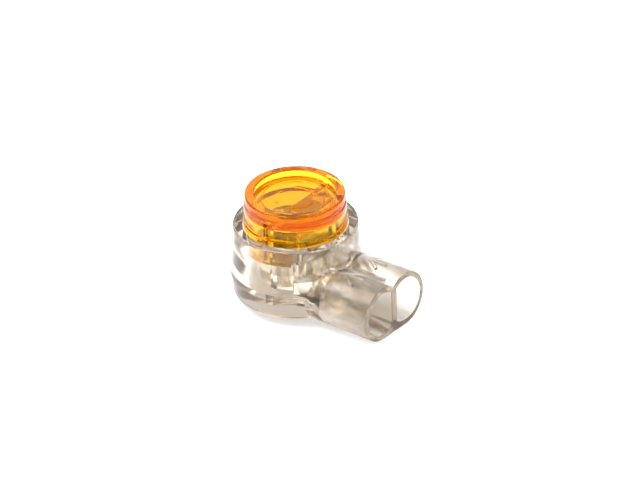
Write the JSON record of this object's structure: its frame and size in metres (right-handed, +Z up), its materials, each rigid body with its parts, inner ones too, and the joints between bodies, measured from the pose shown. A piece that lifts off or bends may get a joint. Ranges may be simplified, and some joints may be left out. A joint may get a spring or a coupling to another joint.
{
  "type": "push-button wire splice connector",
  "caption": "Clear round wire splice connector with side-by-side ports and an amber press button that drives a forked metal contact.",
  "frame": {"origin": "centre of the housing's flat base, under the button's axis", "axes": "+Z up along the button's axis, +X out of the wire ports, +Y across the two ports"},
  "size_m": [0.0161, 0.0114, 0.0101],
  "materials": {
    "clear_plastic": "clear moulded polycarbonate, glossy, faint warm tint",
    "amber_plastic": "see-through amber moulded polycarbonate, glossy",
    "tin_plate": "stamped brass, tin plated, satin",
    "gel": "soft translucent sealing gel"
  },
  "bodies": {
    "housing_body": {"housing": "clear_plastic", "sealing_gel": "gel"},
    "button_body": {"button": "amber_plastic", "contact": "tin_plate"}
  },
  "joints": [
    {"name": "button_press", "type": "slide", "parent": "housing_body", "child": "button_body", "axis": [0, 0, -1], "range_m": [0, 0.00285], "deforming": ["sealing_gel"]}
  ]
}
